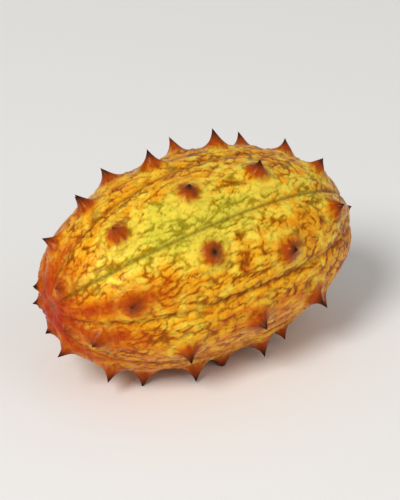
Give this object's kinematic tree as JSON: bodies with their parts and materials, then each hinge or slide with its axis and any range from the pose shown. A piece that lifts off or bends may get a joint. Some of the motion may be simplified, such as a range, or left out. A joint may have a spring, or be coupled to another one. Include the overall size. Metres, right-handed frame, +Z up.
{
  "type": "horned melon",
  "caption": "Whole ripe horned melon lying on its side: blunt oval fruit with rows of flared horns, fine lengthwise grooves and a short cut stem.",
  "frame": {"origin": "middle of the object's box, on the plane that its lowest horns rest on", "axes": "+X along the fruit from the blossom end to the stem end, +Z up"},
  "size_m": [0.1198, 0.0786, 0.074],
  "materials": {
    "rind": "waxy satin",
    "dry_stem": "dry matt"
  },
  "bodies": {
    "root": {"fruit": "rind", "stem_stub": "dry_stem"}
  },
  "joints": []
}
